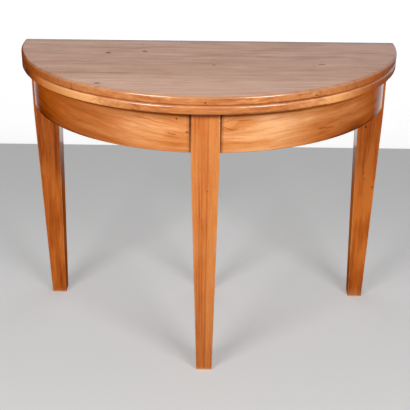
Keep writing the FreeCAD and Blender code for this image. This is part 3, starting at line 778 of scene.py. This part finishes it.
APRON_BOARDS = {
    "left_apron": Board(
        21.0, FRAME_COLOURS, **APRON_GRAIN, shade=0.40, lean=-0.09, gloss=0.06,
        patches=(
            ((-0.145, -0.192, 0.655), (0.11, 0.11, 0.08), -0.26),
            ((-0.414, 0.024, 0.605), (0.10, 0.10, 0.050), 0.45),
        ),
        streaks=(
            (-0.190, -0.060, 0.6855, -0.156, 0.0026, 0.34),
            (-0.225, -0.115, 0.6745, -0.150, 0.0026, 0.28),
            (-0.150, -0.055, 0.6870, -0.110, 0.0022, 0.24),
            (-0.092, -0.064, 0.6485, -0.100, 0.0026, 0.45),
            (-0.150, -0.070, 0.6275, -0.030, 0.0022, 0.22),
            (-0.410, -0.300, 0.6390, 0.000, 0.0030, 0.26),
            (-0.400, -0.255, 0.6500, -0.095, 0.0030, 0.26),
        ),
        marks=(
            ((-0.066, -0.210, 0.684), (0.003, 0.01, 0.003), 0.85),
            ((-0.042, -0.213, 0.653), (0.006, 0.01, 0.003), 0.60),
        ),
    ),
    "right_apron": Board(
        22.0, FRAME_COLOURS, **APRON_GRAIN, shade=0.41, lean=0.03, gloss=0.06,
        patches=(
            ((0.155, -0.188, 0.655), (0.12, 0.12, 0.08), -0.36),
            ((0.125, -0.198, 0.692), (0.06, 0.06, 0.03), -0.24),
            ((0.250, -0.144, 0.692), (0.06, 0.06, 0.03), -0.24),
            ((0.090, -0.206, 0.612), (0.07, 0.07, 0.03), -0.20),
            ((0.270, -0.130, 0.625), (0.07, 0.07, 0.06), 0.22),
            ((0.350, -0.060, 0.605), (0.13, 0.13, 0.045), 0.60),
        ),
        swirls=(((0.050, -0.213, 0.668), (0.035, 0.05, 0.03), 0.022),),
        streaks=(
            (0.034, 0.068, 0.6700, -0.420, 0.0022, 0.36),
            (0.058, 0.100, 0.6570, 0.120, 0.0022, 0.28),
            (0.034, 0.066, 0.6760, 0.240, 0.0022, 0.32),
            (0.055, 0.115, 0.6830, -0.060, 0.0022, 0.24),
            (0.180, 0.240, 0.6940, -0.070, 0.0032, 0.30),
            (0.270, 0.345, 0.6390, -0.090, 0.0034, 0.30),
        ),
    ),
}
LEG_GRAIN = {
    "lean": -0.006, "ring": 0.0068, "waver": 0.006, "wobble": 1.2, "lines": 0.36, "contrast": 0.85,
}
REAR_LEG_GRAIN = {"lean": 0.004, "waver": 0.010, "lines": 0.12, "contrast": 1.5, "fine": 1.6}
LEG_BOARDS = {
    "front_leg": Board(
        31.0, LEG_COLOURS, **LEG_GRAIN,
        streaks=(
            (0.02, 0.50, -0.0174, -0.0110, 0.0014, 0.26),
            (0.00, 0.68, -0.0121, -0.0040, 0.0014, 0.28),
            (0.00, 0.62, -0.0065, -0.0030, 0.0014, 0.28),
        ),
        # Painted shade: darker towards the foot
        patches=(((0.0, -0.19, 0.0), (0.3, 0.3, 0.40), 0.30),),
        marks=(((0.0055, -0.21, 0.508), (0.003, 0.02, 0.003), 0.6),),
    ),
    "left_rear_leg": Board(
        32.0, DEEP_COLOURS, **REAR_LEG_GRAIN, shade=0.33,
        streaks=((0.36, 0.64, 0.0160, 0.022, 0.0055, 0.36),),
    ),
    "right_rear_leg": Board(
        33.0, DEEP_COLOURS, **REAR_LEG_GRAIN, shade=0.26, scuff=0.030,
        streaks=(
            (0.06, 0.50, -0.0190, -0.0234, 0.0060, -0.45),
            (0.12, 0.52, 0.0010, -0.0280, 0.0065, 0.22),
        ),
        patches=(
            ((0.44, 0.17, 0.36), (0.1, 0.1, 0.15), -0.40),
            ((0.43, 0.17, 0.03), (0.1, 0.1, 0.08), 0.24),
        ),
        marks=(
            ((0.430, 0.169, 0.537), (0.004, 0.02, 0.006), 0.75),
            ((0.435, 0.169, 0.402), (0.003, 0.02, 0.006), 0.45),
            ((0.438, 0.169, 0.381), (0.003, 0.02, 0.006), 0.45),
            ((0.463, 0.169, 0.357), (0.004, 0.02, 0.006), 0.60),
        ),
    ),
    "pull_out_leg": Board(34.0, DEEP_COLOURS, **LEG_GRAIN),
}


def dress_leaves():
    front_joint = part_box("folding_leaf_front_board")[1].y
    back_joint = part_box("folding_leaf_back_board")[0].y
    for name, board in LEAF_BOARDS.items():
        worn = WORN_FACING[name.split("_")[0]]
        dress(name, leaf_wood(name + "_wood", board, (front_joint, back_joint), worn))


def dress_aprons():
    for name, side in (("left_apron", -1), ("right_apron", 1)):
        dress(name, apron_wood(name + "_wood", APRON_BOARDS[name], side))


def dress_legs():
    for name, board in LEG_BOARDS.items():
        half_top, half_foot = LEG_HALF_TOP, LEG_HALF_FOOT
        if name == "pull_out_leg":
            half_top, half_foot = PULL_LEG_HALF_TOP, PULL_LEG_HALF_FOOT
        stripe, coat = 0.0, OTHER_LEG_COAT
        if name == "front_leg":
            stripe, coat = STRIPE_TONE, FRONT_LEG_COAT
        dress(name, leg_wood(name + "_wood", board, half_top, half_foot, stripe, coat))


def dress_inside():
    along_x = inner_wood("rail_wood", 41.0, "x")
    along_y = inner_wood("runner_wood", 42.0, "y")
    for name in ("back_rail", "pull_out_rail", "slide_cross_bar", "rail_glue_blocks", "apron_glue_blocks"):
        dress(name, along_x)
    for side in ("left", "right"):
        for piece in ("runner", "guide", "slide_bar"):
            dress(f"{side}_{piece}", along_y)


def dress_metal():
    brass = metal("hinge_brass_aged", paint(202, 164, 90), paint(150, 112, 58), roughness=0.34)
    steel = metal("screw_steel_dull", paint(176, 176, 172), paint(96, 90, 84), roughness=0.42)
    for place in ("left", "centre", "right"):
        for piece in ("fixed_plate", "moving_plate", "pin"):
            dress(f"{place}_hinge_{piece}", brass)
    for name in ("hinge_fixed_screws", "hinge_moving_screws"):
        dress(name, brass)
    for name in ("runner_screws", "pull_out_leg_screws"):
        dress(name, steel)


def seen(tree):
    """1 for rays of the camera, of reflections and through glass, and 0 for light on the table."""
    path = tree.nodes.new("ShaderNodeLightPath")
    total = path.outputs["Is Camera Ray"]
    for ray in ("Is Glossy Ray", "Is Transmission Ray"):
        larger = tree.nodes.new("ShaderNodeMath")
        larger.operation = "MAXIMUM"
        tree.links.new(total, larger.inputs[0])
        tree.links.new(path.outputs[ray], larger.inputs[1])
        total = larger.outputs[0]
    return total


def set_world():
    """Weak even light on the table, and a white background for the camera and for reflections."""
    world = bpy.data.worlds.new("studio")
    bpy.context.scene.world = world
    world.use_nodes = True
    tree = world.node_tree
    background = tree.nodes["Background"]
    level = tree.nodes.new("ShaderNodeMapRange")
    level.inputs["To Min"].default_value = AMBIENT_LEVEL
    level.inputs["To Max"].default_value = BACKGROUND_LEVEL
    tree.links.new(seen(tree), level.inputs["Value"])
    tree.links.new(level.outputs["Result"], background.inputs["Strength"])
    background.inputs["Color"].default_value = (1.0, 1.0, 1.0, 1.0)


def stage_material(name, glow):
    """A matt pale surface that keeps the shadow. It glows for the camera and for reflections alone."""
    material = bpy.data.materials.new(name)
    material.use_nodes = True
    tree = material.node_tree
    shader = tree.nodes["Principled BSDF"]
    shader.inputs["Base Color"].default_value = (FLOOR_ALBEDO, FLOOR_ALBEDO, FLOOR_ALBEDO, 1.0)
    shader.inputs["Roughness"].default_value = STAGE_ROUGHNESS
    shader.inputs["Specular IOR Level"].default_value = STAGE_SPECULAR
    shader.inputs["Emission Color"].default_value = (1.0, 1.0, 1.0, 1.0)
    strength = tree.nodes.new("ShaderNodeMath")
    strength.operation = "MULTIPLY"
    tree.links.new(seen(tree), strength.inputs[0])
    strength.inputs[1].default_value = glow
    tree.links.new(strength.outputs[0], shader.inputs["Emission Strength"])
    return material


def see_through_back(material):
    """Makes the surface clear from behind, so that the wall never hides the table."""
    tree = material.node_tree
    output = tree.nodes["Material Output"]
    clear = tree.nodes.new("ShaderNodeBsdfTransparent")
    choice = tree.nodes.new("ShaderNodeMixShader")
    geometry = tree.nodes.new("ShaderNodeNewGeometry")
    tree.links.new(geometry.outputs["Backfacing"], choice.inputs[0])
    tree.links.new(tree.nodes["Principled BSDF"].outputs[0], choice.inputs[1])
    tree.links.new(clear.outputs[0], choice.inputs[2])
    tree.links.new(choice.outputs[0], output.inputs["Surface"])


def strip(name, line, material):
    """A sheet as wide as the stage, with this line of (y, z) points as its section."""
    points = [(side * FLOOR_HALF_WIDTH, y, z) for y, z in line for side in (-1, 1)]
    faces = [(2 * k, 2 * k + 1, 2 * k + 3, 2 * k + 2) for k in range(len(line) - 1)]
    mesh = bpy.data.meshes.new(name)
    mesh.from_pydata(points, [], faces)
    mesh.materials.append(material)
    for face in mesh.polygons:
        face.use_smooth = True
    sheet = bpy.data.objects.new(name, mesh)
    bpy.context.scene.collection.objects.link(sheet)


def set_stage():
    """A pale floor, and behind it a white wall that rises from a small cove."""
    cove_start = WALL_PLACE - COVE_RADIUS
    floor_back = -FLOOR_FRONT
    strip("floor", [(FLOOR_FRONT, 0.0), (floor_back, 0.0)], stage_material("pale_floor", FLOOR_GLOW))
    line = []
    for step in range(COVE_STEPS + 1):
        turn = math.pi / 2 * step / COVE_STEPS
        y = cove_start + COVE_RADIUS * math.sin(turn)
        z = COVE_RADIUS * (1.0 - math.cos(turn)) + COVE_LIFT
        line.append((y, z))
    line.append((WALL_PLACE, WALL_HEIGHT))
    wall = stage_material("white_wall", WALL_GLOW)
    see_through_back(wall)
    strip("wall", line, wall)


def add_lamp(name, azimuth, elevation, distance, width, height, level):
    """An area lamp that faces the table. A white card facing it at the table shows at this level."""
    data = bpy.data.lights.new(name, "AREA")
    data.shape = "RECTANGLE"
    data.size = width
    data.size_y = height
    data.energy = level * math.pi**2 * distance**2
    lamp = bpy.data.objects.new(name, data)
    lamp.visible_camera = False
    bpy.context.scene.collection.objects.link(lamp)
    away = Vector((
        math.sin(azimuth) * math.cos(elevation),
        -math.cos(azimuth) * math.cos(elevation),
        math.sin(elevation),
    ))
    lamp.location = LIGHT_TARGET + away * distance
    lamp.rotation_euler = away.to_track_quat("Z", "Y").to_euler()


def set_lights():
    add_lamp("left_box", -BOX_AZIMUTH, BOX_ELEVATION, BOX_DISTANCE, BOX_WIDTH, BOX_HEIGHT, BOX_LEVEL)
    add_lamp("right_box", BOX_AZIMUTH, BOX_ELEVATION, BOX_DISTANCE, BOX_WIDTH, BOX_HEIGHT, BOX_LEVEL)
    add_lamp("back_lamp", math.pi, LAMP_ELEVATION, LAMP_DISTANCE, LAMP_SIZE, LAMP_SIZE, LAMP_LEVEL)


def set_camera():
    forward = Vector((
        math.sin(CAMERA_YAW) * math.cos(CAMERA_PITCH),
        math.cos(CAMERA_YAW) * math.cos(CAMERA_PITCH),
        -math.sin(CAMERA_PITCH),
    ))
    level_right = Vector((math.cos(CAMERA_YAW), -math.sin(CAMERA_YAW), 0.0))
    level_up = level_right.cross(forward)
    right = level_right * math.cos(CAMERA_ROLL) + level_up * math.sin(CAMERA_ROLL)
    up = level_up * math.cos(CAMERA_ROLL) - level_right * math.sin(CAMERA_ROLL)
    data = bpy.data.cameras.new("camera")
    data.sensor_width = CAMERA_SENSOR
    data.lens = CAMERA_LENS
    camera = bpy.data.objects.new("camera", data)
    bpy.context.scene.collection.objects.link(camera)
    turn = Matrix((right, up, -forward)).transposed().to_4x4()
    camera.matrix_world = Matrix.Translation(CAMERA_PLACE) @ turn
    bpy.context.scene.camera = camera


dress_leaves()
dress_aprons()
dress_legs()
dress_inside()
dress_metal()
set_world()
set_stage()
set_lights()
set_camera()
bpy.context.scene.view_settings.view_transform = "Standard"
